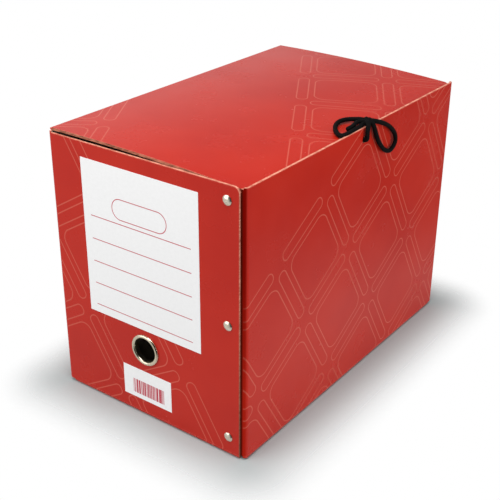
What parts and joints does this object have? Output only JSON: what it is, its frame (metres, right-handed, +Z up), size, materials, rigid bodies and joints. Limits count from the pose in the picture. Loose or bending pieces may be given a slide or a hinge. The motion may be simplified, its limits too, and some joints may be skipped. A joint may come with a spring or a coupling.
{
  "type": "archive box",
  "caption": "Upright archive box of laminated board with a creased lid that a lace bow ties to the side panel, a riveted seam, and a ringed finger hole and labels on the spine.",
  "frame": {"origin": "middle of the resting face, on the floor", "axes": "+Z up, -Y out of the spine, +X out of the side panel that the lace ties to, -X out of the creased side"},
  "size_m": [0.2051, 0.3321, 0.2483],
  "materials": {
    "red_board": "glossy laminated print",
    "grey_board": "bare grey board",
    "nickel": "nickel plated, polished",
    "label_paper": "matt white paper",
    "lace": "braided black lace"
  },
  "bodies": {
    "box": {"left_panel": "red_board", "spine_panel": "red_board", "right_panel": "red_board", "joint_flange": "red_board", "back_panel": "red_board", "front_bottom_flap": "red_board", "back_bottom_flap": "red_board", "left_bottom_flap": "red_board", "right_bottom_flap": "red_board", "base_board": "grey_board", "rivet_bottom": "nickel", "rivet_middle": "nickel", "rivet_top": "nickel", "rivet_washer_bottom": "nickel", "rivet_washer_middle": "nickel", "rivet_washer_top": "nickel", "finger_ring": "nickel", "ring_back_washer": "nickel", "spine_label": "label_paper", "small_sticker": "label_paper", "panel_lace": "lace", "panel_stop_knot": "lace"},
    "lid": {"lid_panel": "red_board", "bow_knot": "lace", "bow_left_loop": "lace", "bow_right_loop": "lace", "bow_tail": "lace", "bow_edge_strand": "lace", "lid_lace": "lace", "lid_stop_knot": "lace"}
  },
  "joints": [
    {"name": "lid_hinge", "type": "hinge", "parent": "box", "child": "lid", "pos_m": [-0.099, 0, 0.2423], "axis": [0, -1, 0], "range_deg": [0, 210]}
  ]
}
